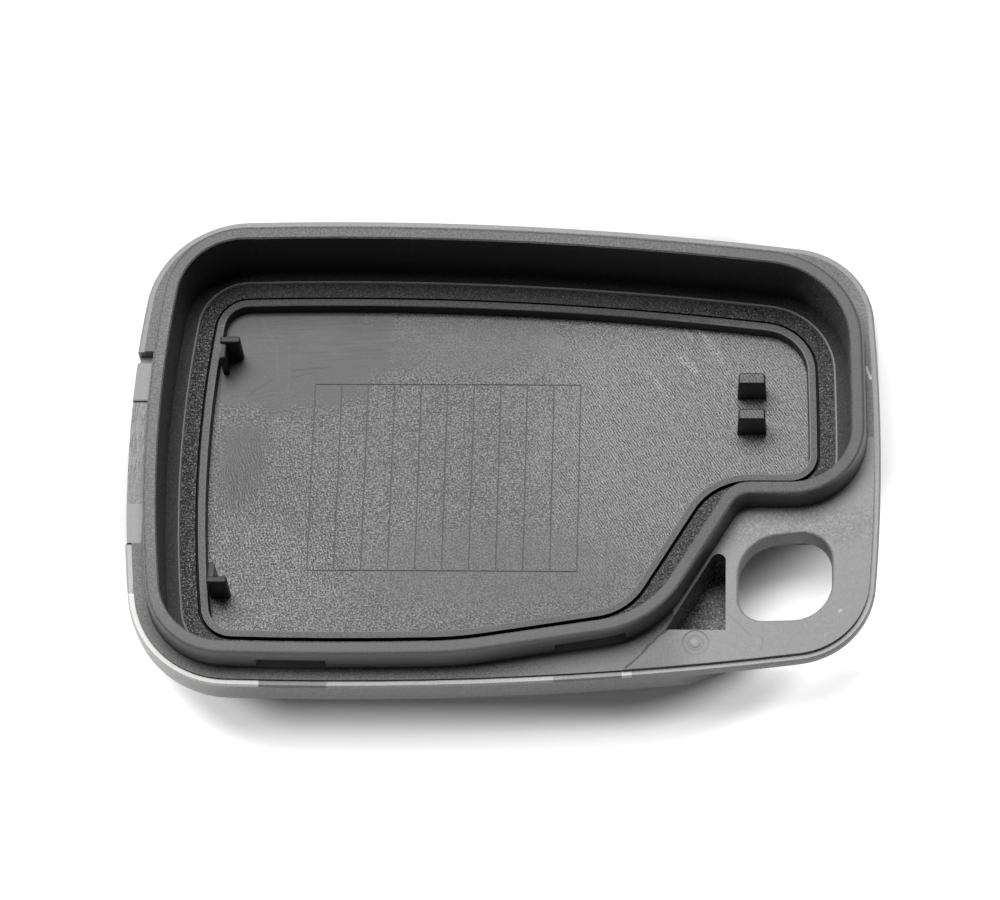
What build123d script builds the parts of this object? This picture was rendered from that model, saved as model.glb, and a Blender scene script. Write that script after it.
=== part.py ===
# Back shell of a card-shaped key fob, moulded in one piece and lying open side up.
# The origin is under the middle of the shell, on the plane that its belly rests on.
# +X runs to the key-ring end, +Y to the straight long side, +Z out of the open side.
from build123d import *
import os
from math import atan2, cos, degrees, radians, sin, tan

# Outline of the shell at its rim: four gentle bows joined by rounded corners
length = 77.6
width = 52.5
widest_from_left = 20.9
side_bow = 370.0
left_bow = 131.0
right_bow = 190.0
left_corner = 10.7
right_corner = 8.8

# Heights above the plane that the belly rests on
floor_thickness = 2.0
rim_height = 7.7
ledge_step = 0.25
plate_step = 0.15
shell_height = 11.1

# Underside, rounded up to the rim, and the land outside the ledge
belly_edge = 5.2
rim_edge = 0.2
rim_width = 0.7

# Upright wall that the other half of the fob fits round
wall = 1.44
wall_draft = 5.0
wall_edge = 0.15
wall_round = 0.45
side_ledge_width = 2.2
end_ledge_width = 1.6
wall_left_corner = 8.2
wall_right_corner = 10.5
wall_right_bow = 340.0

# Course of the wall round the key-ring corner, along its inner face
run_from_right = 15.2
run_from_near = 21.37
knee_from_right = 23.65
knee_from_near = 7.0
near_slope = 9.3
run_corner = 6.2
run_bend = 3.3
knee_bend = 10.0
slope_bend = 40.0

# Steps inside the cavity, measured inwards from the top edge of the wall
inner_ledge_height = 1.2
wall_step_width = 1.5
wall_step_height = 0.25
rib_inset = 3.35
rib_width = 0.8
rib_height = 1.4
rib_draft = 5.0
rib_gap = 0.22
rib_gap_depth = 0.4

# Grid engraved in the floor
grid_from_left = 18.6
grid_from_far = 16.35
grid_length = 27.9
grid_width = 21.1
grid_columns = 10
groove_width = 0.14
groove_depth = 0.07

# Locating blocks on the floor near the right end
block_length = 2.75
block_width = 1.25
block_height = 3.6
block_draft = 2.0
block_from_right = 13.2
block_rows_from_far = (17.15, 21.2)
block_corner = 0.35

# L-shaped posts on the floor near the left end
post_height = 4.3
post_from_left = 8.8
upper_post_from_far = 12.75
lower_post_from_near = 11.9
pad_width = 0.65
pad_length = 2.4
pad_drop = 0.3
arm_length = 1.45
arm_width = 0.75
arm_corner = 0.3

# Plate of the key-ring corner, with the hole for the ring
plate_thickness = 2.7
plate_edge = 1.6
plate_turn_from_right = 22.7
plate_turn_from_near = 5.4
plate_line_angle = 46.0
hole_from_right = 5.0
hole_from_near = 7.65
hole_from_run = 4.12
hole_length = 9.45
hole_near_slant = 0.35
hole_far_slant = 1.05
hole_near_left_round = 2.4
hole_near_right_round = 4.3
hole_far_right_round = 2.9
hole_far_left_round = 4.5
hole_edge = 0.3

# Hollow under the plate, which leaves room for the ring to turn
scoop_side_gap = 0.4
scoop_clearance = 1.1
scoop_flare = 9.0
scoop_turn_from_near = 4.8
scoop_draft = 2.0
scoop_round = 2.0

# Three-sided pocket that thins the corner between the wall and the hole
web = 1.3
pocket_from_near = 6.32
pocket_depth = 5.5
pocket_clearance = 0.5
pocket_round = 0.75

# Round ejector mark on the plate
ejector_from_right = 18.75
ejector_from_near = 4.95
ejector_radius = 1.3
ejector_depth = 0.06
ejector_pip = 0.5

# Snap pockets in the wall's outer face
snap_width = 7.1
snap_depth = 0.7
snap_height = 1.65
snap_sill = 0.1
near_snaps_from_left = (18.2, 48.3)
far_snaps_from_left = (17.1, 51.0)

# Seat of a release catch in the left end
catch_near = -10.7
catch_far = 10.95
catch_setback = 0.2
catch_drop = 3.5
catch_slot = 1.4
catch_slot_depth = 1.3
catch_pad = 4.3
catch_foot = 4.35
catch_step = 0.2
catch_gap = 0.1

# Places of the ends and sides, and the heights that follow
left_end = -length / 2
right_end = length / 2
near_side = -width / 2
far_side = width / 2
widest_x = left_end + widest_from_left
ledge_z = rim_height + ledge_step
plate_z = ledge_z + plate_step
scoop_z = plate_z - plate_thickness
inner_ledge_z = floor_thickness + inner_ledge_height
wall_step_z = inner_ledge_z + wall_step_height
rib_z = floor_thickness + rib_height

# Course of the wall, worked out from the ends and sides
wall_edge_z = shell_height - wall_edge
wall_round_z = shell_height - wall_round
round_middle = wall_round * (1 - cos(radians(45)))
wall_foot = wall + (wall_round_z - ledge_z) * tan(radians(wall_draft))
inner_left = left_end + side_ledge_width + wall
inner_right = right_end - end_ledge_width - wall
inner_half_width = far_side - side_ledge_width - wall
run_x = right_end - run_from_right
run_y = near_side + run_from_near
knee_x = right_end - knee_from_right
knee_y = near_side + knee_from_near
run_slope = degrees(atan2(run_y - knee_y, run_x - knee_x))

# Corners of the ring hole
hole_right = right_end - hole_from_right
hole_left = hole_right - hole_length
hole_near = near_side + hole_from_near
hole_far = run_y - hole_from_run
hole_near_left = (hole_left, hole_near - hole_near_slant)
hole_near_right = (hole_right, hole_near)
hole_far_right = (hole_right, hole_far)
hole_far_left = (hole_left, hole_far - hole_far_slant)


def bowed_outline(left, right, half_width, end_bow, left_round, right_round, inset):
    # Four large circles cut the outline, and its corners are rounded; an inset draws it parallel
    with BuildSketch() as outline:
        with Locations((widest_x, half_width - side_bow)):
            Circle(side_bow - inset)
        with Locations((widest_x, side_bow - half_width)):
            Circle(side_bow - inset, mode=Mode.INTERSECT)
        with Locations((left + left_bow, 0)):
            Circle(left_bow - inset, mode=Mode.INTERSECT)
        with Locations(Location((right - end_bow, 0, 0), (0, 0, 180))):
            Circle(end_bow - inset, mode=Mode.INTERSECT)
        fillet(outline.vertices().group_by(Axis.X)[0], left_round - inset)
        fillet(outline.vertices().group_by(Axis.X)[-1], right_round - inset)
    return outline.sketch


def rim_outline(inset=0.0):
    return bowed_outline(left_end, right_end, far_side, right_bow, left_corner, right_corner, inset)


def parallel_corner(x, y, slope_in, slope_out, distance):
    # Where the corner of two lines comes to lie when both are drawn parallel, to their left
    middle = radians((slope_in + slope_out) / 2)
    reach = distance / cos(radians((slope_out - slope_in) / 2))
    return x - reach * sin(middle), y + reach * cos(middle)


def cavity_outline(inset=0.0):
    # The cavity's top edge, a bowed outline less the key-ring corner, or a line parallel to it
    knee = parallel_corner(knee_x, knee_y, near_slope, run_slope, inset)
    bend = parallel_corner(run_x, run_y, run_slope, 0, inset)
    slope_start = (widest_x, knee[1] - (knee[0] - widest_x) * tan(radians(near_slope)))
    with BuildSketch() as outline:
        add(bowed_outline(inner_left, inner_right, inner_half_width, wall_right_bow,
                          wall_left_corner - wall, wall_right_corner - wall, inset))
        with BuildLine():
            Polyline(slope_start, knee, bend, (length, bend[1]), (length, -width),
                     (widest_x, -width), close=True)
        make_face(mode=Mode.SUBTRACT)
        fillet(outline.vertices().sort_by_distance((inner_right, bend[1]))[0], run_corner - inset)
        fillet(outline.vertices().sort_by_distance(bend)[0], run_bend + inset)
        fillet(outline.vertices().sort_by_distance(knee)[0], knee_bend - inset)
        along_slope = outline.vertices().filter_by(lambda v: widest_x < v.X < knee[0])
        fillet(along_slope.sort_by(Axis.Y)[0], slope_bend - inset)
    return outline.sketch


# Area of the hollow under the key-ring corner, flaring towards the near side
scoop_left = hole_left - scoop_side_gap
scoop_far = run_y - wall - scoop_clearance
scoop_corner = (scoop_left, scoop_far)
scoop_turn = (scoop_left, near_side + scoop_turn_from_near)
with BuildSketch() as scoop:
    with BuildLine():
        Polyline((scoop_left - scoop_flare, -width), (scoop_left - scoop_flare, near_side), scoop_turn,
                 scoop_corner, (length, scoop_far), (length, -width), close=True)
    make_face()
    fillet(scoop.vertices().sort_by_distance(scoop_corner)[0], scoop_round)
    fillet(scoop.vertices().sort_by_distance(scoop_turn)[0], scoop_round)

# Plate over that hollow, with its lower outside edge rounded
with BuildPart() as ring_plate:
    with BuildSketch(Plane.XY.offset(scoop_z)):
        add(rim_outline())
        add(scoop.sketch, mode=Mode.INTERSECT)
    extrude(amount=rim_height - scoop_z)
    lower_arcs = ring_plate.edges().group_by(Axis.Z)[0].filter_by(GeomType.CIRCLE)
    plate_room = rim_height - rim_edge - scoop_z
    fillet(lower_arcs.filter_by(lambda e: e.radius > scoop_round), min(plate_edge, 0.9 * plate_room))

with BuildPart() as back_shell:
    # Outside of the shell: the rim outline drawn down to a belly with a large rounded edge
    with BuildSketch():
        add(rim_outline())
    extrude(amount=rim_height)
    fillet(back_shell.edges().group_by(Axis.Z)[0], min(belly_edge, 0.9 * (rim_height - rim_edge)))

    # Hollow of the ring corner cut right up, with a little draft, and the plate set into its top
    with BuildSketch(Plane.XY.offset(scoop_z)):
        add(scoop.sketch)
    extrude(amount=-scoop_z, taper=-scoop_draft, mode=Mode.SUBTRACT)
    with BuildSketch(Plane.XY.offset(scoop_z)):
        add(scoop.sketch)
    extrude(amount=rim_height - scoop_z, mode=Mode.SUBTRACT)
    add(ring_plate.part)
    chamfer(back_shell.edges().group_by(Axis.Z)[-1], rim_edge)

    # Ledge one small step above the rim
    with BuildSketch(Plane.XY.offset(rim_height)):
        add(rim_outline(rim_width))
    extrude(amount=ledge_step)

    # The ring corner stands a second small step above the ledge
    plate_turn = (right_end - plate_turn_from_right, near_side + plate_turn_from_near)
    plate_line_run = plate_turn_from_near / tan(radians(plate_line_angle))
    pocket_near = near_side + pocket_from_near
    pocket_side = parallel_corner(knee_x, knee_y, run_slope, run_slope, -wall - pocket_clearance)
    pocket_left = pocket_side[0] + (pocket_near - pocket_side[1]) / tan(radians(run_slope))
    in_pocket = (pocket_left + 2 * pocket_clearance, pocket_near + pocket_clearance)
    plate_end = run_y + run_corner
    with BuildSketch(Plane.XY.offset(ledge_z)):
        add(rim_outline(rim_width))
        with BuildLine():
            Polyline((plate_turn[0] - plate_line_run, near_side), plate_turn, in_pocket, (knee_x, plate_end),
                     (length, plate_end), (length, near_side), close=True)
        make_face(mode=Mode.INTERSECT)
    extrude(amount=plate_step)

    # Upright wall with draft on its outer face, and its outer top edge rounded
    with BuildSketch(Plane.XY.offset(ledge_z)):
        add(cavity_outline(-wall_foot))
    with BuildSketch(Plane.XY.offset(wall_round_z)):
        add(cavity_outline(-wall))
    with BuildSketch(Plane.XY.offset(shell_height - round_middle)):
        add(cavity_outline(round_middle - wall))
    with BuildSketch(Plane.XY.offset(shell_height)):
        add(cavity_outline(wall_round - wall))
    loft(ruled=True)

    # Its inner top edge taken off
    with BuildSketch(Plane.XY.offset(shell_height)):
        add(cavity_outline(-wall_edge))
    with BuildSketch(Plane.XY.offset(wall_edge_z)):
        add(cavity_outline())
    loft(ruled=True, mode=Mode.SUBTRACT)

    # Cavity down to the step at the foot of the wall, and from its edge down to the inner ledge
    with BuildSketch(Plane.XY.offset(wall_edge_z)):
        add(cavity_outline())
    extrude(amount=wall_step_z - wall_edge_z, mode=Mode.SUBTRACT)
    with BuildSketch(Plane.XY.offset(wall_step_z)):
        add(cavity_outline(wall_step_width))
    extrude(amount=-wall_step_height, mode=Mode.SUBTRACT)

    # Rib standing up from the inner ledge, with a narrow gap along its outside
    with BuildSketch(Plane.XY.offset(inner_ledge_z)):
        add(cavity_outline(rib_inset))
    extrude(amount=rib_z - inner_ledge_z)
    with BuildSketch(Plane.XY.offset(inner_ledge_z)):
        add(cavity_outline(rib_inset - rib_gap))
        add(cavity_outline(rib_inset), mode=Mode.SUBTRACT)
    extrude(amount=-rib_gap_depth, mode=Mode.SUBTRACT)

    # Floor sunk inside the rib
    with BuildSketch(Plane.XY.offset(rib_z)):
        add(cavity_outline(rib_inset + rib_width))
    with BuildSketch(Plane.XY.offset(floor_thickness)):
        add(cavity_outline(rib_inset + rib_width + rib_height * tan(radians(rib_draft))))
    loft(ruled=True, mode=Mode.SUBTRACT)

    # Grid of narrow grooves in the floor
    grid_pitch = grid_length / grid_columns
    grid_middle = (left_end + grid_from_left + grid_length / 2, far_side - grid_from_far - grid_width / 2)
    with BuildSketch(Plane.XY.offset(floor_thickness)):
        with Locations(grid_middle):
            Rectangle(grid_length + groove_width, grid_width + groove_width)
            with GridLocations(grid_pitch, 0, grid_columns, 1):
                Rectangle(grid_pitch - groove_width, grid_width - groove_width, mode=Mode.SUBTRACT)
    extrude(amount=-groove_depth, mode=Mode.SUBTRACT)

    # Two locating blocks, widening towards the floor and rounded at their far corners
    for row_from_far in block_rows_from_far:
        with BuildSketch(Plane.XY.offset(floor_thickness + block_height)) as block:
            with Locations((right_end - block_from_right, far_side - row_from_far)):
                Rectangle(block_length, block_width)
            fillet(block.vertices().group_by(Axis.Y)[-1], block_corner)
        extrude(amount=-block_height, taper=-block_draft)

    # L-shaped posts: a pad along the rib, with a slightly taller arm at one of its ends
    post_left = left_end + post_from_left
    arm_reach = pad_width + arm_length
    for post_end, inward in ((far_side - upper_post_from_far, -1), (near_side + lower_post_from_near, 1)):
        with BuildSketch(Plane.XY.offset(floor_thickness)):
            with Locations((post_left + pad_width / 2, post_end + inward * pad_length / 2)):
                Rectangle(pad_width, pad_length)
        extrude(amount=post_height - pad_drop)
        with BuildSketch(Plane.XY.offset(floor_thickness)) as arm:
            with Locations((post_left + arm_reach / 2, post_end + inward * arm_width / 2)):
                Rectangle(arm_reach, arm_width)
            fillet(arm.vertices().group_by(Axis.X)[-1], arm_corner)
        extrude(amount=post_height)

    # Rounded hole for the key ring
    with BuildSketch(Plane.XY.offset(plate_z)) as ring_hole:
        with BuildLine():
            Polyline(hole_near_left, hole_near_right, hole_far_right, hole_far_left, close=True)
        make_face()
        fillet(ring_hole.vertices().sort_by_distance(hole_near_left)[0], hole_near_left_round)
        fillet(ring_hole.vertices().sort_by_distance(hole_near_right)[0], hole_near_right_round)
        fillet(ring_hole.vertices().sort_by_distance(hole_far_right)[0], hole_far_right_round)
        fillet(ring_hole.vertices().sort_by_distance(hole_far_left)[0], hole_far_left_round)
    extrude(amount=-2 * plate_thickness, mode=Mode.SUBTRACT)
    fillet(back_shell.edges(Select.LAST).group_by(Axis.Z)[-1], hole_edge)

    # Three-sided pocket beside the wall
    pocket_right = hole_left - web
    pocket_far = pocket_side[1] + (pocket_right - pocket_side[0]) * tan(radians(run_slope))
    with BuildSketch(Plane.XY.offset(plate_z)) as pocket:
        with BuildLine():
            Polyline((pocket_left, pocket_near), (pocket_right, pocket_near), (pocket_right, pocket_far),
                     close=True)
        make_face()
        fillet(pocket.vertices().group_by(Axis.Y)[-1], pocket_round)
    extrude(amount=-pocket_depth, mode=Mode.SUBTRACT)

    # Ejector mark: a shallow round recess with a pip in its middle
    with BuildSketch(Plane.XY.offset(plate_z)):
        with Locations((right_end - ejector_from_right, near_side + ejector_from_near)):
            Circle(ejector_radius)
            Circle(ejector_pip, mode=Mode.SUBTRACT)
    extrude(amount=-ejector_depth, mode=Mode.SUBTRACT)

    # Snap pockets in the wall's outer face, on the near and the far side
    near_snaps = [(left_end + x, near_side) for x in near_snaps_from_left]
    far_snaps = [(left_end + x, far_side) for x in far_snaps_from_left]
    with BuildSketch(Plane.XY.offset(ledge_z + snap_sill)):
        add(cavity_outline(-2 * wall))
        add(cavity_outline(snap_depth - wall), mode=Mode.SUBTRACT)
        with Locations(*near_snaps, *far_snaps):
            Rectangle(snap_width, width / 2, mode=Mode.INTERSECT)
    extrude(amount=snap_height, mode=Mode.SUBTRACT)

    # Seat of a release catch: the skin set back and the land brought level with the ledge
    catch_middle = (left_end, (catch_near + catch_far) / 2)
    with BuildSketch(Plane.XY.offset(rim_height - catch_drop)):
        with Locations(catch_middle):
            Rectangle(left_corner, catch_far - catch_near)
        add(rim_outline(catch_setback), mode=Mode.SUBTRACT)
    extrude(amount=catch_drop, mode=Mode.SUBTRACT)
    with BuildSketch(Plane.XY.offset(rim_height - rim_edge)):
        add(rim_outline(catch_setback))
        add(rim_outline(2 * rim_width), mode=Mode.SUBTRACT)
        with Locations(catch_middle):
            Rectangle(left_corner, catch_far - catch_near, mode=Mode.INTERSECT)
    extrude(amount=rim_edge + ledge_step)

    # Its sunk middle, between its foot and its pad, and the slot at its far end
    seat_near = catch_near + catch_foot
    slot_near = catch_far - catch_slot
    for cut_near, cut_far, cut_depth in ((seat_near, slot_near - catch_pad, catch_step),
                                         (slot_near, catch_far, catch_slot_depth)):
        with BuildSketch(Plane.XY.offset(ledge_z)):
            with Locations((left_end, (cut_near + cut_far) / 2)):
                Rectangle(left_corner, cut_far - cut_near)
            add(cavity_outline(-wall_foot - catch_gap), mode=Mode.SUBTRACT)
        extrude(amount=-cut_depth, mode=Mode.SUBTRACT)

back_shell.part.label = "back_shell"
os.makedirs("parts", exist_ok=True)
export_step(back_shell.part, "parts/back_shell.step")
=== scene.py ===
import math

import bpy
from mathutils import Euler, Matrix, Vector
from mathutils.bvhtree import BVHTree


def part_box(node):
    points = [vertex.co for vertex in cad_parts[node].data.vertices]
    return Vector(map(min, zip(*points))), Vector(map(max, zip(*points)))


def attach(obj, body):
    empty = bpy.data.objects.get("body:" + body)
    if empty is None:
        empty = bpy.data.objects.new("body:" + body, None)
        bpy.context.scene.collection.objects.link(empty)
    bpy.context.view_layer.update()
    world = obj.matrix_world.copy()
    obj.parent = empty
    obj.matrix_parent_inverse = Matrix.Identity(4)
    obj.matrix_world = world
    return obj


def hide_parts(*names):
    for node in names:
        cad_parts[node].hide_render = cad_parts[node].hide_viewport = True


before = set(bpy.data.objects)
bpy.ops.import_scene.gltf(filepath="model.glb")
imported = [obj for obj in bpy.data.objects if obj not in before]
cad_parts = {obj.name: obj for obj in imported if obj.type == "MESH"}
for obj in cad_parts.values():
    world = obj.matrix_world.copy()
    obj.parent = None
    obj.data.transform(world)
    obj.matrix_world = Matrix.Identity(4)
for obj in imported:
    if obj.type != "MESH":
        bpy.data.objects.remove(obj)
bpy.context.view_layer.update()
print("frame loaded:", sorted(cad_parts))

# everything below is in metres, with +X to the ring corner and +Z out of the open side
shellNode = "back_shell"
lowCorner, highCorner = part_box(shellNode)


def selectNothing():
    bpy.ops.object.select_all(action="DESELECT")


def selectOnly(piece):
    selectNothing()
    piece.select_set(True)
    bpy.context.view_layer.objects.active = piece


selectNothing()


# Small helpers for building node trees

def put(tree, socket, value):
    # a number or colour is set on the socket, the output of a node is linked to it
    if isinstance(value, bpy.types.NodeSocket):
        tree.links.new(value, socket)
    elif value is not None:
        socket.default_value = value


def addMath(tree, operation, first, second=None, clamp=False):
    node = tree.nodes.new("ShaderNodeMath")
    node.operation = operation
    node.use_clamp = clamp
    put(tree, node.inputs[0], first)
    put(tree, node.inputs[1], second)
    return node.outputs[0]


def addProduct(tree, first, second):
    return addMath(tree, "MULTIPLY", first, second)


def addTo(tree, base, mask, amount):
    return addMath(tree, "ADD", base, addProduct(tree, mask, amount))


def addVectorMath(tree, operation, first, second=None, result="Vector"):
    node = tree.nodes.new("ShaderNodeVectorMath")
    node.operation = operation
    put(tree, node.inputs[0], first)
    put(tree, node.inputs["Scale" if operation == "SCALE" else 1], second)
    return node.outputs[result]


def addRange(tree, value, low, high, toLow=0.0, toHigh=1.0):
    node = tree.nodes.new("ShaderNodeMapRange")
    node.interpolation_type = "SMOOTHSTEP"
    put(tree, node.inputs["Value"], value)
    put(tree, node.inputs["From Min"], low)
    put(tree, node.inputs["From Max"], high)
    put(tree, node.inputs["To Min"], toLow)
    put(tree, node.inputs["To Max"], toHigh)
    return node.outputs["Result"]


def addNoise(tree, vector, scale, detail, roughness=0.5, distortion=0.0):
    node = tree.nodes.new("ShaderNodeTexNoise")
    put(tree, node.inputs["Vector"], vector)
    put(tree, node.inputs["Scale"], scale)
    put(tree, node.inputs["Detail"], detail)
    put(tree, node.inputs["Roughness"], roughness)
    put(tree, node.inputs["Distortion"], distortion)
    return node.outputs["Fac"]


def addSplit(tree, vector):
    node = tree.nodes.new("ShaderNodeSeparateXYZ")
    put(tree, node.inputs[0], vector)
    return node.outputs


def addTurnedBack(tree, vector, turn):
    angle = addProduct(tree, turn, -1.0)
    node = tree.nodes.new("ShaderNodeVectorRotate")
    node.rotation_type = "Z_AXIS"
    put(tree, node.inputs["Vector"], vector)
    put(tree, node.inputs["Angle"], angle)
    return node.outputs["Vector"]


def addApart(tree, vector, start):
    # the way from the start to the place, as seen from above
    apart = addVectorMath(tree, "SUBTRACT", vector, start)
    return addVectorMath(tree, "MULTIPLY", apart, (1.0, 1.0, 0.0))


# Shading effects that more than one finish uses. A range is of a noise, which lies about 0.5.
effects = {
    "coarseScale": 0.3,  # scale of the coarse pits against that of the fine ones
    "fineShare": 0.8,
    "coarseShare": 0.2,
    "grainRange": (0.3, 0.7),
    "fleckRange": (0.62, 0.78),
    "raggedScale": 380.0,
    "driftScale": 0.36,  # scales of the drift and fade of a hatch against that of its wave
    "fadeScale": 0.5,
    "fadeRange": (0.3, 0.6),
    "leastFade": 0.25,
    "hatchHeight": 0.3,
    "streakRange": (0.32, 0.68),
    "swayScale": 900.0,
    "sway": 0.0003,
    "markCore": 0.4,  # share of a mark's half width that is at full strength
    "scuffRange": (-0.6, 0.5),  # tones of the grain over which a broken mark sets in
    "leastTone": 0.05,
}


def newGroup(name, vectors, numbers, outputs):
    group = bpy.data.node_groups.new(name, "ShaderNodeTree")
    for label in vectors:
        group.interface.new_socket(name=label, in_out="INPUT", socket_type="NodeSocketVector")
    for label in numbers:
        group.interface.new_socket(name=label, in_out="INPUT", socket_type="NodeSocketFloat")
    for label in outputs:
        group.interface.new_socket(name=label, in_out="OUTPUT", socket_type="NodeSocketFloat")
    given = group.nodes.new("NodeGroupInput").outputs
    result = group.nodes.new("NodeGroupOutput").inputs
    return group, given, result


def buildErodedGrain():
    # fine pits of a spark-eroded mould: Height for the bump, Tone from -1 to 1, and bright Flecks
    group, given, result = newGroup(
        "erodedGrain", ["Vector"], ["Grain Size"], ["Height", "Tone", "Flecks"])
    scale = addMath(group, "DIVIDE", 1.0, given["Grain Size"])
    fine = addNoise(group, given["Vector"], scale, 0.6)
    coarseScale = addProduct(group, scale, effects["coarseScale"])
    coarse = addNoise(group, given["Vector"], coarseScale, 1.0)
    height = addProduct(group, fine, effects["fineShare"])
    height = addTo(group, height, coarse, effects["coarseShare"])
    put(group, result["Height"], height)
    put(group, result["Tone"], addRange(group, height, *effects["grainRange"], -1.0, 1.0))
    put(group, result["Flecks"], addRange(group, fine, *effects["fleckRange"]))
    return group


def buildPatch():
    # a soft-edged oval or, when Square is 1, four-sided area with a ragged border: 1 inside
    group, given, result = newGroup(
        "patch", ["Vector", "Centre", "Reach"], ["Softness", "Ragged", "Square"], ["Mask"])
    apart = addApart(group, given["Vector"], given["Centre"])
    apart = addVectorMath(group, "ABSOLUTE",
                          addVectorMath(group, "DIVIDE", apart, given["Reach"]))
    split = addSplit(group, apart)
    oval = addVectorMath(group, "LENGTH", apart, result="Value")
    square = addMath(group, "MAXIMUM", split["X"], split["Y"])
    far = addTo(group, oval, addMath(group, "SUBTRACT", square, oval), given["Square"])
    ragged = addNoise(group, given["Vector"], effects["raggedScale"], 3.0, roughness=0.6)
    far = addTo(group, far, addMath(group, "SUBTRACT", ragged, 0.5), given["Ragged"])
    inner = addMath(group, "SUBTRACT", 1.0, given["Softness"])
    outer = addMath(group, "ADD", 1.0, given["Softness"])
    put(group, result["Mask"], addRange(group, far, inner, outer, 1.0, 0.0))
    return group


def buildHatch():
    # short slanting tool marks: a wave that drifts, and that fades in and out along its run
    group, given, result = newGroup(
        "hatch", ["Vector"], ["Turn", "Pitch", "Drift"], ["Height", "Tone"])
    split = addSplit(group, addTurnedBack(group, given["Vector"], given["Turn"]))
    scale = addMath(group, "DIVIDE", 1.0, given["Pitch"])
    driftScale = addProduct(group, scale, effects["driftScale"])
    drift = addMath(group, "SUBTRACT", addNoise(group, given["Vector"], driftScale, 1.0), 0.5)
    phase = addTo(group, addProduct(group, split["X"], scale), drift, given["Drift"])
    wave = addMath(group, "SINE", addProduct(group, phase, 2 * math.pi))
    fadeScale = addProduct(group, scale, effects["fadeScale"])
    fade = addNoise(group, given["Vector"], fadeScale, 1.0)
    fade = addRange(group, fade, *effects["fadeRange"], effects["leastFade"], 1.0)
    tone = addProduct(group, wave, fade)
    put(group, result["Tone"], tone)
    put(group, result["Height"], addProduct(group, tone, effects["hatchHeight"]))
    return group


def buildStreaks():
    # faint marks, long along one direction and fine across it: Tone from -1 to 1
    group, given, result = newGroup(
        "streaks", ["Vector"], ["Turn", "Thickness", "Drawn Out"], ["Tone"])
    turned = addTurnedBack(group, given["Vector"], given["Turn"])
    squeeze = group.nodes.new("ShaderNodeCombineXYZ")
    put(group, squeeze.inputs["X"], addMath(group, "DIVIDE", 1.0, given["Drawn Out"]))
    put(group, squeeze.inputs["Y"], 1.0)
    drawn = addVectorMath(group, "MULTIPLY", turned, squeeze.outputs[0])
    scale = addMath(group, "DIVIDE", 1.0, given["Thickness"])
    lines = addNoise(group, drawn, scale, 2.0, distortion=0.3)
    put(group, result["Tone"], addRange(group, lines, *effects["streakRange"], -1.0, 1.0))
    return group


def buildMark():
    # one thin scratch or witness line between two points: 1 on the line, 0 beside it
    group, given, result = newGroup(
        "mark", ["Vector", "Start", "Run"], ["Half Width"], ["Mask"])
    sway = addNoise(group, given["Vector"], effects["swayScale"], 1.0)
    sway = addMath(group, "SUBTRACT", sway, 0.5)
    sway = addVectorMath(group, "SCALE", (1.0, -1.0, 0.0),
                         addProduct(group, sway, effects["sway"]))
    apart = addApart(group, given["Vector"], given["Start"])
    apart = addVectorMath(group, "ADD", apart, sway)
    along = addVectorMath(group, "DOT_PRODUCT", apart, given["Run"], result="Value")
    whole = addVectorMath(group, "DOT_PRODUCT", given["Run"], given["Run"], result="Value")
    share = addMath(group, "DIVIDE", along, whole, clamp=True)
    nearest = addVectorMath(group, "SCALE", given["Run"], share)
    beside = addVectorMath(group, "SUBTRACT", apart, nearest)
    far = addVectorMath(group, "LENGTH", beside, result="Value")
    core = addProduct(group, given["Half Width"], effects["markCore"])
    put(group, result["Mask"], addRange(group, far, core, given["Half Width"], 1.0, 0.0))
    return group


groups = {
    "erodedGrain": buildErodedGrain(),
    "patch": buildPatch(),
    "hatch": buildHatch(),
    "streaks": buildStreaks(),
    "mark": buildMark(),
}
print("effects ready:", len(groups))


def addEffect(tree, name, vector, **settings):
    node = tree.nodes.new("ShaderNodeGroup")
    node.node_tree = groups[name]
    put(tree, node.inputs["Vector"], vector)
    for label, value in settings.items():
        put(tree, node.inputs[label.replace("_", " ")], value)
    return node.outputs


# What the finishes are made of. Tones are added, as shares of the finish's own tone. An area is
# an oval with a soft, ragged border; inside it the strength of the grain is multiplied by grain,
# and roughness is added. A block is a four-sided area with a straight border. A line is a thin
# mark, and a broken one only takes on the peaks of the grain. Turns are in radians.
def area(centre, reach, softness, tone, ragged=0.9, square=0.0, **change):
    return dict(change, centre=centre, reach=reach, softness=softness, tone=tone,
                ragged=ragged, square=square)


def block(centre, reach, softness, tone, **change):
    return area(centre, reach, softness, tone, ragged=0.0, square=1.0, **change)


def line(start, end, halfWidth, tone, broken=False):
    return dict(start=start, end=end, halfWidth=halfWidth, tone=tone, broken=broken)


# places that two finishes share
# the far side of the rib, where the far wall's shadow is painted
farWallShadeOnRib = ((-0.0020, 0.0190), (0.0340, 0.0035), 0.35)
# the plate's border: a dark line there is the seam, and painted shadow of the step
plateBorder = ((0.0171, -0.0199), (0.0131, -0.0241))
ejectorCentre = (0.02005, -0.0213)
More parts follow.
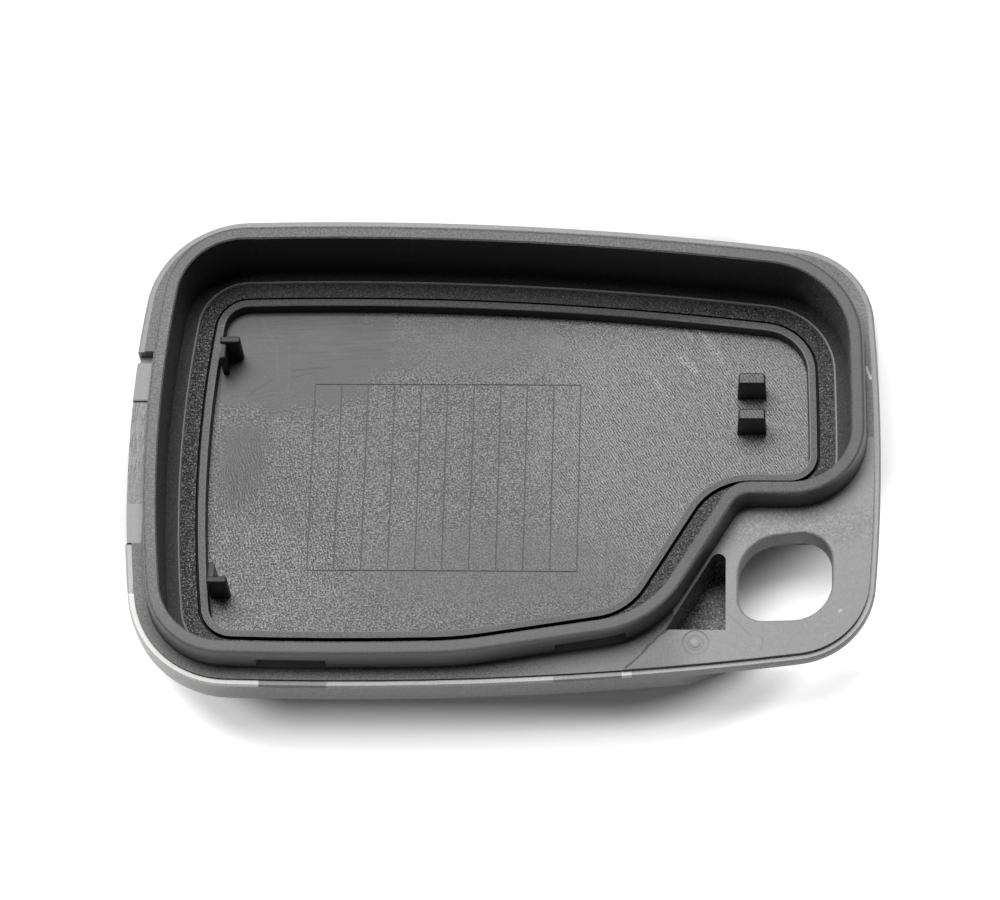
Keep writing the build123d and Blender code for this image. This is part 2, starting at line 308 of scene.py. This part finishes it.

# Finishes of the one moulded plastic, which differ with the texture of the mould, and painted
# light and shade where noted
plain = {
    "tint": (1.0, 1.0, 1.01),
    "roughness": 0.45,
    "specular": 0.5,
    "grain": 0.00017,  # size of the pits
    "grainTone": 0.1,
    "flecks": 0.0,
    "grainHeight": 0.000008,
    "patches": [],
    "hatches": [],
    "streaks": [],
    "marks": [],
}
finishes = {
    "floor": dict(
        plain, tone=0.109, roughness=0.4,
        grain=0.00018, grainTone=1.4, flecks=1.35, grainHeight=0.00003,
        patches=[
            area((-0.0235, 0.0140), (0.0120, 0.0072), 0.3, -0.34, grain=0.08),
            area((-0.0275, 0.0010), (0.0024, 0.0048), 0.4, -0.42, grain=0.2),
            area((0.0200, 0.0050), (0.0160, 0.0160), 0.45, 0.92, grain=0.7),
            area((-0.0180, -0.0060), (0.0080, 0.0080), 0.5, 0.13, grain=1.1),
            area((-0.0265, -0.0130), (0.0090, 0.0070), 0.45, 0.4, grain=1.2),
            area((-0.0050, 0.0150), (0.0120, 0.0040), 0.5, -0.08, grain=0.35),
            area((0.0000, -0.0110), (0.0140, 0.0050), 0.5, -0.04, grain=0.45),
        ],
        hatches=[
            area((0.0190, 0.0030), (0.0150, 0.0150), 0.5, 1.7,
                 turn=0.58, pitch=0.00026, drift=1.75),
            area((-0.0240, -0.0060), (0.0090, 0.0090), 0.5, 0.85,
                 turn=0.33, pitch=0.0003, drift=2.4),
        ],
        streaks=[
            area((-0.0170, 0.0155), (0.0120, 0.0030), 0.5, 0.16,
                 turn=0.03, thickness=0.0003, drawnOut=14.0),
            area((-0.0255, 0.0070), (0.0060, 0.0030), 0.5, 0.12,
                 turn=0.2, thickness=0.0002, drawnOut=9.0),
            area((0.0195, 0.0135), (0.0050, 0.0045), 0.5, 0.16,
                 turn=-0.87, thickness=0.0003, drawnOut=5.0),
        ],
        marks=[
            # scratches at the far left
            line((-0.0289, 0.0055), (-0.0249, 0.0066), 0.00016, -0.4),
            line((-0.0249, 0.0066), (-0.0205, 0.0072), 0.00013, -0.32),
            line((-0.0227, 0.0115), (-0.0185, 0.0120), 0.00012, -0.4),
            line((-0.0228, 0.0108), (-0.0202, 0.0113), 0.00011, -0.3),
            line((-0.0101, 0.0118), (-0.0087, 0.0130), 0.00015, -0.5),
            line((-0.0271, 0.0088), (-0.0249, 0.0104), 0.00013, -0.3),
            line((-0.0232, 0.0149), (-0.0230, 0.0070), 0.00012, 0.14),
            line((-0.0263, 0.0176), (-0.0246, 0.0143), 0.00022, 0.12),
            line((-0.0246, 0.0143), (-0.0241, 0.0101), 0.00022, 0.12),
            # pale scuffs at the far right, and a dark nick beside them
            line((0.0180, 0.0134), (0.0196, 0.0117), 0.0006, 1.2, broken=True),
            line((0.0187, 0.0162), (0.0194, 0.0153), 0.0004, 1.1, broken=True),
            line((0.0200, 0.0162), (0.0226, 0.0125), 0.0005, 1.2, broken=True),
            line((0.0146, 0.0117), (0.0162, 0.0094), 0.0004, 1.1, broken=True),
            line((0.0295, 0.0119), (0.0297, 0.0119), 0.00022, -0.6),
        ]),
    "groove": dict(plain, tone=0.06),
    "postTop": dict(
        plain, tone=0.131, grainTone=0.6, grainHeight=0.00003,
        hatches=[area((0.0256, 0.0070), (0.0040, 0.0060), 0.3, 0.5,
                      turn=0.58, pitch=0.0003, drift=1.0)]),
    "padTop": dict(plain, tone=0.055, specular=0.3, tint=(1.0, 0.97, 0.95)),
    # sides of the posts and blocks, and the rounds of their top edges: painted shade, near black
    "paintedPostShade": dict(plain, tone=0.035, tint=(1.0, 0.93, 0.9), roughness=0.35),
    # the gap between the inner ledge and the rib, and the rounds of its edges: painted shade,
    # near black, less dark at the far side
    "gap": dict(
        plain, tone=0.01, specular=0.1, tint=(1.0, 0.85, 0.85),
        patches=[area((0.0000, 0.0200), (0.0380, 0.0060), 0.3, 2.2)]),
    # the rib's inner faces: painted shade
    "paintedRibSideShade": dict(plain, tone=0.04, tint=(1.0, 0.97, 0.97)),
    # the round of the rib's inner top edge: a painted highlight, dimmed at the far side by
    # painted shadow of the far wall
    "paintedRibHighlight": dict(
        plain, tone=0.32, tint=(1.0, 0.98, 0.97), roughness=0.3,
        patches=[area(*farWallShadeOnRib, -0.6)]),
    # the rib's top: darker at the far side by painted shadow of the far wall
    "rib": dict(
        plain, tone=0.098, tint=(1.0, 0.98, 0.98), grainTone=0.5, grainHeight=0.00002,
        patches=[area(*farWallShadeOnRib, -0.72, grain=0.8)]),
    # the inner ledge: its low tone is painted shade beside the walls; its patches mostly change
    # the grain
    "innerLedge": dict(
        plain, tone=0.058, specular=0.2, grainTone=1.2, flecks=3.0, grainHeight=0.00004,
        patches=[
            area((-0.0020, 0.0210), (0.0340, 0.0035), 0.35, 0.1, grain=0.5),
            area((-0.0320, -0.0010), (0.0040, 0.0180), 0.3, 0.0, grain=1.6),
        ]),
    # the face and round of the step at the foot of the wall: a painted highlight line
    "paintedStepHighlight": dict(plain, tone=0.4, tint=(1.0, 0.98, 0.96), roughness=0.3),
    # the step at the foot of the inner wall: painted shade, darker still at the far side
    "wallStep": dict(
        plain, tone=0.04, specular=0.25, tint=(1.0, 0.98, 0.99), grainTone=0.35, flecks=1.2,
        patches=[area((0.0000, 0.0215), (0.0360, 0.0040), 0.3, -0.35, grain=0.5)]),
    # the inner wall: dark as painted shade; the left and right walls are painted lighter, as lit;
    # their specks are the wall's own
    "innerWall": dict(
        plain, tone=0.06, tint=(1.0, 0.97, 1.0), roughness=0.36, grainTone=0.2, flecks=0.9,
        patches=[
            area((-0.0350, -0.0020), (0.0060, 0.0190), 0.3, 1.6, grain=7.0),
            area((0.0350, 0.0080), (0.0050, 0.0150), 0.3, 2.6, grain=7.0),
        ]),
    "wallTop": dict(
        plain, tone=0.124, tint=(1.0, 0.985, 0.975), grainTone=0.08, flecks=0.15,
        patches=[
            area((-0.0360, 0.0000), (0.0070, 0.0190), 0.35, 0.5, grain=5.0),
            area((0.0000, 0.0245), (0.0380, 0.0040), 0.35, 0.14, grain=4.0),
            area((0.0240, -0.0070), (0.0140, 0.0070), 0.3, -0.16, grain=2.0),
        ]),
    # the chamfer at the wall top's inner edge: a painted highlight line
    "wallEdge": dict(plain, tone=0.19, tint=(1.0, 0.985, 0.98), grainTone=0.3),
    "wallSide": dict(
        plain, tone=0.12, tint=(1.0, 0.95, 0.97),
        # darker along the run by the ring corner: painted shadow
        patches=[area((0.0240, -0.0075), (0.0110, 0.0070), 0.3, -0.45, ragged=0.1)]),
    "snapPocket": dict(
        plain, tone=0.1, tint=(1.0, 0.94, 0.95),
        # the pockets on the near side are painted lighter: painted light in their shade
        patches=[block((-0.0050, -0.0230), (0.0240, 0.0080), 0.1, 2.4)]),
    # the riser of the step down from the ledge to the rim: a dark purplish line of painted shade,
    # painted lighter at the right end
    "ledgeStep": dict(
        plain, tone=0.08, tint=(1.0, 0.8, 0.84),
        patches=[block((0.0262, -0.0200), (0.0126, 0.0110), 0.1, 3.0)]),
    "ledge": dict(
        plain, tone=0.16, grainTone=0.35, grainHeight=0.00002,
        patches=[
            # the pads at the left end: painted light
            block((-0.0380, -0.0085), (0.0013, 0.0022), 0.05, 1.6, grain=0.4),
            block((-0.0372, 0.0075), (0.0013, 0.0021), 0.05, 1.4, grain=0.4),
            area((0.0110, -0.0235), (0.0070, 0.0022), 0.6, 0.35, grain=0.35),
            area((0.0375, 0.0080), (0.0030, 0.0120), 0.4, 0.4),
        ],
        marks=[
            # the seam at the plate's border, with painted shadow of the step
            line(*plateBorder, 0.00026, -0.8),
            line((0.0373, 0.0094), (0.0378, 0.0080), 0.00018, 3.6),  # burr at the right end
            line((0.0378, 0.0080), (0.0381, 0.0089), 0.00015, 2.6),
        ]),
    "seat": dict(
        plain, tone=0.3, grainTone=0.2,
        streaks=[area((-0.0385, 0.0010), (0.0020, 0.0060), 0.5, 0.4,
                      turn=1.5, thickness=0.00014, drawnOut=12.0)]),
    # the plate: lighter than the ledge, partly a finer texture and partly painted reflection
    "plate": dict(
        plain, tone=0.39, tint=(1.0, 1.0, 1.01), grain=0.0002, grainTone=0.05, flecks=0.06,
        patches=[
            area((0.0300, -0.0085), (0.0090, 0.0025), 0.5, -0.1, grain=3.5),
            # darker at the left tip: painted shadow of the wall
            area((0.0145, -0.0222), (0.0045, 0.0045), 0.6, -0.42, ragged=0.2),
            # rings of the ejector mark, and its pip
            area(ejectorCentre, (0.00140, 0.00140), 0.04, -0.2, ragged=0.0),
            area(ejectorCentre, (0.00122, 0.00122), 0.08, 0.17, ragged=0.0),
            area(ejectorCentre, (0.00085, 0.00085), 0.06, -0.2, ragged=0.0),
            area(ejectorCentre, (0.00066, 0.00066), 0.1, 0.16, ragged=0.0),
            area((0.0199, -0.0212), (0.00030, 0.00030), 0.3, 0.35, ragged=0.0),
        ],
        marks=[
            # the seam at the plate's border, with painted shadow of the step
            line(*plateBorder, 0.00016, -0.5),
            line((0.0233, -0.0182), (0.0257, -0.0206), 0.0001, -0.16),
            line((0.0267, -0.0206), (0.0267, -0.0223), 0.0001, -0.16),
            line((0.03450, -0.01782), (0.03465, -0.01775), 0.00022, 0.7),
            line((0.03300, -0.02042), (0.03302, -0.02035), 0.00015, 0.3),
        ]),
    "rim": dict(
        plain, tone=0.33, tint=(1.0, 0.985, 0.96), roughness=0.35, grainTone=0.12,
        patches=[
            # the left end: painted light
            block((-0.0385, -0.0134), (0.0012, 0.0029), 0.05, 0.8),
            # the band by the ring corner: painted light, as lit from above
            block((0.0264, -0.0230), (0.0124, 0.0060), 0.15, 0.45),
            block((0.0385, -0.0020), (0.0020, 0.0160), 0.15, 0.3),
            # polished strip along the near side: lower roughness, with a painted highlight in its
            # light tone
            block((-0.0309, -0.0216), (0.0070, 0.0054), 0.02, 1.9, roughness=-0.1),
            block((-0.0056, -0.0250), (0.0114, 0.0040), 0.01, 0.7, roughness=-0.1),
            block((0.0132, -0.0250), (0.0005, 0.0040), 0.1, 1.2, roughness=-0.1),
        ]),
    "skin": dict(
        plain, tone=0.28, tint=(1.0, 0.985, 0.985), grainTone=0.2, grainHeight=0.00002,
        patches=[
            # the near-left corner: painted highlight
            area((-0.0370, -0.0190), (0.0110, 0.0090), 0.5, 1.6, ragged=0.2),
            # the far face of the ring hole: painted shade
            area((0.0290, -0.0094), (0.0065, 0.0022), 0.4, -0.35, ragged=0.0),
        ]),
    "pocket": dict(plain, tone=0.2, grainTone=0.8, flecks=2.0, grainHeight=0.00003),
}


def addPatch(tree, place, patch):
    centre, reach = (*patch["centre"], 0.0), (*patch["reach"], 1.0)
    return addEffect(tree, "patch", place, Centre=centre, Reach=reach, Square=patch["square"],
                     Softness=patch["softness"], Ragged=patch["ragged"])["Mask"]


def mouldedFinish(name, finish):
    material = bpy.data.materials.new(name)
    material.use_nodes = True
    tree = material.node_tree
    shader = tree.nodes["Principled BSDF"]
    place = tree.nodes.new("ShaderNodeTexCoord").outputs["Object"]

    grain = addEffect(tree, "erodedGrain", place, Grain_Size=finish["grain"])
    grainShare = 1.0
    tone = 1.0
    roughness = finish["roughness"]
    for patch in finish["patches"]:
        mask = addPatch(tree, place, patch)
        tone = addTo(tree, tone, mask, patch["tone"])
        if "grain" in patch:
            share = addRange(tree, mask, 0.0, 1.0, 1.0, patch["grain"])
            grainShare = addProduct(tree, grainShare, share)
        if "roughness" in patch:
            roughness = addTo(tree, roughness, mask, patch["roughness"])
    grainTone = addProduct(tree, grain["Tone"], finish["grainTone"])
    grainTone = addTo(tree, grainTone, grain["Flecks"], finish["flecks"])
    tone = addTo(tree, tone, grainTone, grainShare)
    height = addProduct(tree, grain["Height"], grainShare)

    for hatch in finish["hatches"]:
        mask = addPatch(tree, place, hatch)
        waves = addEffect(tree, "hatch", place, Turn=hatch["turn"], Pitch=hatch["pitch"],
                          Drift=hatch["drift"])
        tone = addTo(tree, tone, addProduct(tree, mask, waves["Tone"]), hatch["tone"])
        height = addTo(tree, height, mask, waves["Height"])
    for streak in finish["streaks"]:
        mask = addPatch(tree, place, streak)
        lines = addEffect(tree, "streaks", place, Turn=streak["turn"],
                          Thickness=streak["thickness"], Drawn_Out=streak["drawnOut"])
        tone = addTo(tree, tone, addProduct(tree, mask, lines["Tone"]), streak["tone"])
    for mark in finish["marks"]:
        run = [there - here for here, there in zip(mark["start"], mark["end"])]
        mask = addEffect(tree, "mark", place, Start=(*mark["start"], 0.0), Run=(*run, 0.0),
                         Half_Width=mark["halfWidth"])["Mask"]
        if mark["broken"]:
            scuffed = addRange(tree, grain["Tone"], *effects["scuffRange"])
            mask = addProduct(tree, mask, scuffed)
        tone = addTo(tree, tone, mask, mark["tone"])

    base = tuple(finish["tone"] * part for part in finish["tint"])
    tone = addMath(tree, "MAXIMUM", tone, effects["leastTone"])
    colour = addVectorMath(tree, "SCALE", base, tone)
    put(tree, shader.inputs["Base Color"], colour)
    bump = tree.nodes.new("ShaderNodeBump")
    put(tree, bump.inputs["Distance"], finish["grainHeight"])
    put(tree, bump.inputs["Height"], height)
    put(tree, shader.inputs["Normal"], bump.outputs["Normal"])
    put(tree, shader.inputs["Roughness"], roughness)
    put(tree, shader.inputs["Specular IOR Level"], finish["specular"])
    return material


materials = {name: mouldedFinish(name, finish) for name, finish in finishes.items()}
print("finishes ready:", len(materials))


# The shell: the moulded solid with its sharp edges broken, and a finish on each of its areas

# heights of the level faces of the moulding, from the plane it lies on
levels = {
    "groove": 0.00193,  # engraved lines of the grid
    "floor": 0.0020,
    "pocket": 0.0026,  # three-sided, beside the wall at the ring corner
    "gap": 0.0028,
    "innerLedge": 0.0032,
    "rib": 0.0034,
    "wallStep": 0.00345,
    "catchFoot": 0.0042,  # this, the slot and the seat are of the release catch
    "blockTop": 0.0056,
    "padTop": 0.0060,
    "armTop": 0.0063,
    "slot": 0.00665,
    "rim": 0.0077,
    "seat": 0.00775,
    "ledge": 0.00795,
    "ejector": 0.00804,
    "sill": 0.00805,  # foot of the snap pockets
    "plate": 0.0081,
}
# finishes of the levels that have none of their own name
topFinish = {"blockTop": "postTop", "armTop": "padTop", "ejector": "plate",
             "slot": "skin", "catchFoot": "skin", "sill": "snapPocket"}

shell = {
    "snapTop": 0.0097,  # height of the tops of the snap pockets
    "wallRound": highCorner.z - 0.00045,  # where the round at the wall's outer top edge begins
    "wallEdge": highCorner.z - 0.00015,
    "rimEdge": 0.00025,  # how far the rim's finish reaches down its edge
    "sameHeight": 0.000004,  # how far a face may lie from its level
    "levelNormal": 0.95,
    "edgeNormal": 0.8,
    "slantNormal": 0.2,
    "probe": 0.0001,  # how far in front of a face the ground below it is felt for
    "sameVertex": 0.000001,
    "flatAngle": 0.05,  # degrees; triangles this flat to each other are joined
    "sharpAngle": 32.0,  # degrees; what turns by less is a smooth surface
    "segments": 2,
    # the kinds of edges, in the order in which they are rounded: width, and finish of the round
    "rounds": {
        "step": (0.0002, "paintedStepHighlight"),  # inner edge of the step at the foot of the wall
        # the top edges' rounds take the painted shade of the post sides
        "post": (0.00015, "paintedPostShade"),  # tops of the posts and blocks
        "rib": (0.00012, "paintedRibHighlight"),
        # the gap's edges are rounded in its painted shade
        "gap": (0.00005, "gap"),
        "plain": (0.00007, None),
    },
}


def atLevel(height, *names):
    return any(abs(height - levels[name]) < shell["sameHeight"] for name in names)


def isAbove(height, level):
    return height > level + shell["sameHeight"]


def finishOf(face, solid):
    # level faces go by their height, the others by the level that lies in front of their foot
    height, normal = face.center.z, face.normal
    if height > shell["wallEdge"] - shell["sameHeight"]:
        return "wallTop" if normal.z > shell["edgeNormal"] else "wallEdge"
    if normal.z > shell["levelNormal"]:
        for name in levels:
            if atLevel(height, name):
                return topFinish.get(name, name)
    isSlanted = normal.z > shell["slantNormal"]
    if isSlanted and height > shell["wallRound"]:
        return "wallTop"
    isByRim = height > levels["rim"] - shell["rimEdge"]
    hit = solid.ray_cast(face.center + normal * shell["probe"], Vector((0, 0, -1)))[0]
    if hit is None or atLevel(hit.z, "catchFoot") or (isSlanted and isByRim):
        if isAbove(height, levels["rim"]):
            return "plate"
        return "rim" if isByRim else "skin"
    if atLevel(hit.z, "sill") and not isAbove(height, shell["snapTop"]):
        return "snapPocket"
    if hit.z > levels["slot"] - shell["sameHeight"]:
        isWall = height > levels["plate"] or atLevel(hit.z, "slot")
        return "wallSide" if isWall else "ledgeStep"
    for name in ("pocket", "gap", "groove"):
        if atLevel(hit.z, name):
            return name
    if atLevel(hit.z, "wallStep"):
        return "innerWall"
    if height > levels["wallStep"]:
        return "paintedPostShade" if atLevel(hit.z, "floor", "innerLedge", "rib", "padTop") else "skin"
    return "paintedStepHighlight" if atLevel(hit.z, "innerLedge") else "paintedRibSideShade"


def edgeKind(names, lowest):
    if names == {"wallStep", "paintedStepHighlight"}:
        return "step"
    if "postTop" in names or "padTop" in names:
        return "post"
    if names == {"rib", "paintedRibSideShade"}:
        return "rib"
    if names in ({"rib", "gap"}, {"innerLedge", "gap"}):
        return "gap"
    # the hair-fine grooves of the floor stay as they are
    isPlain = isAbove(lowest, levels["floor"]) or lowest < levels["floor"] / 2
    return "plain" if isPlain else None


def roundEdges(piece, kind, width, slot):
    # the edges of this kind are rounded with the bevel modifier, and it is applied
    mesh = piece.data
    sides = {}
    for face in mesh.polygons:
        for key in face.edge_keys:
            sides.setdefault(key, []).append(face)
    sharp = math.cos(math.radians(shell["sharpAngle"]))
    weights = mesh.attributes.get("bevel_weight_edge")
    weights = weights or mesh.attributes.new("bevel_weight_edge", "FLOAT", "EDGE")
    count = 0
    for edge in mesh.edges:
        beside = sides[tuple(sorted(edge.vertices))]
        names = {mesh.materials[face.material_index].name for face in beside}
        lowest = min(mesh.vertices[index].co.z for index in edge.vertices)
        isSharp = len(beside) == 2 and beside[0].normal.dot(beside[1].normal) < sharp
        picked = isSharp and edgeKind(names, lowest) == kind
        weights.data[edge.index].value = 1.0 if picked else 0.0
        count += picked
    bevel = piece.modifiers.new("roundedEdges", "BEVEL")
    bevel.width = width
    bevel.segments = shell["segments"]
    bevel.limit_method = "WEIGHT"
    bevel.use_clamp_overlap = kind == "plain"
    bevel.harden_normals = True
    bevel.miter_outer = "MITER_ARC"
    bevel.material = slot
    selectOnly(piece)
    bpy.ops.object.shade_smooth_by_angle(angle=math.radians(shell["sharpAngle"]))
    bpy.ops.object.modifier_apply(modifier=bevel.name)
    print("edges rounded:", kind, count)


def buildShell():
    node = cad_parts[shellNode]
    piece = node.copy()
    piece.data = node.data.copy()
    piece.name = "mouldedShell"
    piece.parent = None
    for key in list(piece.keys()):
        del piece[key]
    bpy.context.scene.collection.objects.link(piece)
    selectOnly(piece)
    bpy.ops.object.mode_set(mode="EDIT")
    bpy.ops.mesh.select_all(action="SELECT")
    bpy.ops.mesh.remove_doubles(threshold=shell["sameVertex"])
    bpy.ops.mesh.customdata_custom_splitnormals_clear()
    bpy.ops.mesh.dissolve_limited(angle_limit=math.radians(shell["flatAngle"]))
    bpy.ops.object.mode_set(mode="OBJECT")

    mesh = piece.data
    mesh.materials.clear()
    slots = {None: -1}  # a round without a finish of its own takes that of the faces beside it
    for name, material in materials.items():
        slots[name] = len(mesh.materials)
        mesh.materials.append(material)
    solid = BVHTree.FromPolygons([vertex.co for vertex in mesh.vertices],
                                 [face.vertices for face in mesh.polygons])
    counts = {}
    for face in mesh.polygons:
        name = finishOf(face, solid)
        face.material_index = slots[name]
        counts[name] = counts.get(name, 0) + 1
    print("faces by finish:", counts)

    for kind, (width, finish) in shell["rounds"].items():
        roundEdges(piece, kind, width, slots[finish])
    flat = piece.modifiers.new("flatFaces", "WEIGHTED_NORMAL")
    flat.keep_sharp = True
    selectOnly(piece)
    bpy.ops.object.modifier_apply(modifier=flat.name)
    return piece


mouldedShell = buildShell()
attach(mouldedShell, "root")
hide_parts(shellNode)
print("shell ready:", len(mouldedShell.data.polygons), "faces")


# The pale floor

floorLook = {
    "size": 6.0,
    "colour": (0.93, 0.93, 0.93, 1.0),
    "roughness": 0.9,
    # What the floor gives off as light for the camera, so that it reads as white: least of all
    # under the shell, so its shape paints the reach of the shell's shadow.
    # Each side's lift rises from nought to the first amount between two distances from the
    # middle, and from there to the second amount between two more.
    "leastLift": 0.05,
    "nearLift": (0.0238, 0.0290, 0.50, 0.0292, 0.0340, 0.85),
    "rightLift": (0.0384, 0.0390, 0.60, 0.0400, 0.0470, 0.45),
    "leftLift": (0.0384, 0.0390, 0.35, 0.0400, 0.0470, 0.40),
    "farLift": (0.0265, 0.0295, 0.35, 0.0300, 0.0400, 0.40),
    # The near and far lifts turn in towards the ends of the shell: from a distance on, by a
    # factor times the square of what lies past it.
    "nearLeftTurn": (0.020, 50.0),
    "nearRightTurn": (0.011, 26.0),
    "farTurn": (0.022, 100.0),
    # under the ring hole, along a slanting direction, and only near the hole; there it starts
    # below nought, painting shade
    "holeSlant": (0.6, -0.8, 0.0),
    "holeLift": (0.0225, 0.0300, -0.04, 0.52),
    "holeNear": (-0.0215, -0.0190),
}


def addTurn(tree, outward, along, turn):
    start, factor = turn
    past = addMath(tree, "MAXIMUM", addMath(tree, "SUBTRACT", along, start), 0.0)
    return addTo(tree, outward, addProduct(tree, past, past), factor)


def addLift(tree, place):
    # how much light the floor gives off towards the camera, by the place on it
    split = addSplit(tree, place)
    right, far = split["X"], split["Y"]
    left = addProduct(tree, right, -1.0)
    near = addProduct(tree, far, -1.0)
    near = addTurn(tree, near, left, floorLook["nearLeftTurn"])
    near = addTurn(tree, near, right, floorLook["nearRightTurn"])
    farther = addTurn(tree, far, left, floorLook["farTurn"])
    farther = addTurn(tree, farther, right, floorLook["farTurn"])
    sides = {"nearLift": near, "rightLift": right, "leftLift": left, "farLift": farther}
    lift = floorLook["leastLift"]
    for name, along in sides.items():
        start, full, first, again, end, second = floorLook[name]
        rise = addRange(tree, along, start, full, 0.0, first)
        change = addRange(tree, along, again, end, 0.0, second - first)
        lift = addMath(tree, "MAXIMUM", lift, addMath(tree, "ADD", rise, change))
    slanting = addVectorMath(tree, "DOT_PRODUCT", place, floorLook["holeSlant"], result="Value")
    inHole = addRange(tree, slanting, *floorLook["holeLift"])
    return addTo(tree, lift, inHole, addRange(tree, far, *floorLook["holeNear"]))


def buildFloor():
    bpy.ops.mesh.primitive_plane_add(size=floorLook["size"], location=(0, 0, lowCorner.z))
    floor = bpy.context.object
    floor.name = "paleFloor"
    material = bpy.data.materials.new("paleFloor")
    material.use_nodes = True
    tree = material.node_tree
    shader = tree.nodes["Principled BSDF"]
    put(tree, shader.inputs["Base Color"], floorLook["colour"])
    put(tree, shader.inputs["Roughness"], floorLook["roughness"])
    put(tree, shader.inputs["Specular IOR Level"], 0.0)
    seen = tree.nodes.new("ShaderNodeLightPath").outputs
    eye = addMath(tree, "MAXIMUM", seen["Is Camera Ray"], seen["Is Glossy Ray"])
    eye = addMath(tree, "MAXIMUM", eye, seen["Is Transmission Ray"])
    place = tree.nodes.new("ShaderNodeTexCoord").outputs["Object"]
    put(tree, shader.inputs["Emission Color"], (1, 1, 1, 1))
    put(tree, shader.inputs["Emission Strength"], addProduct(tree, eye, addLift(tree, place)))
    floor.data.materials.append(material)


# The sky, the lamp and the camera

sky = {
    "strength": 0.045,
    "seenStrength": 1.0,  # white where the camera looks past the floor
}

softbox = {
    "place": (-0.08, 0.22, 0.525),
    "aim": (0.0, 0.0, 0.0),
    "size": (0.46, 0.34),
    "watts": 3.0,
}

camera = {
    "lens": 158.09,
    "sensor": 36.0,
    "place": (0.026605, -0.182187, 0.419786),
    "turn": (23.891, 3.036, 1.559),  # degrees
    "clip": (0.01, 20.0),
}


def buildSky():
    world = bpy.data.worlds.new("softSky")
    world.use_nodes = True
    bpy.context.scene.world = world
    tree = world.node_tree
    background = tree.nodes["Background"]
    put(tree, background.inputs["Color"], (1, 1, 1, 1))
    seen = tree.nodes.new("ShaderNodeLightPath").outputs["Is Camera Ray"]
    put(tree, background.inputs["Strength"],
        addRange(tree, seen, 0.0, 1.0, sky["strength"], sky["seenStrength"]))


def buildSoftbox():
    lamp = bpy.data.lights.new("softbox", "AREA")
    lamp.shape = "RECTANGLE"
    lamp.size, lamp.size_y = softbox["size"]
    lamp.energy = softbox["watts"]
    holder = bpy.data.objects.new("softbox", lamp)
    bpy.context.scene.collection.objects.link(holder)
    holder.location = softbox["place"]
    aim = Vector(softbox["aim"]) - holder.location
    holder.rotation_euler = aim.to_track_quat("-Z", "Y").to_euler()


def buildCamera():
    lens = bpy.data.cameras.new("camera")
    lens.lens = camera["lens"]
    lens.sensor_width = camera["sensor"]
    lens.sensor_fit = "HORIZONTAL"
    lens.clip_start, lens.clip_end = camera["clip"]
    holder = bpy.data.objects.new("camera", lens)
    bpy.context.scene.collection.objects.link(holder)
    holder.location = camera["place"]
    holder.rotation_euler = Euler([math.radians(angle) for angle in camera["turn"]], "XYZ")
    bpy.context.scene.camera = holder


buildFloor()
buildSky()
buildSoftbox()
buildCamera()
bpy.context.scene.view_settings.view_transform = "Standard"
print("stage ready")
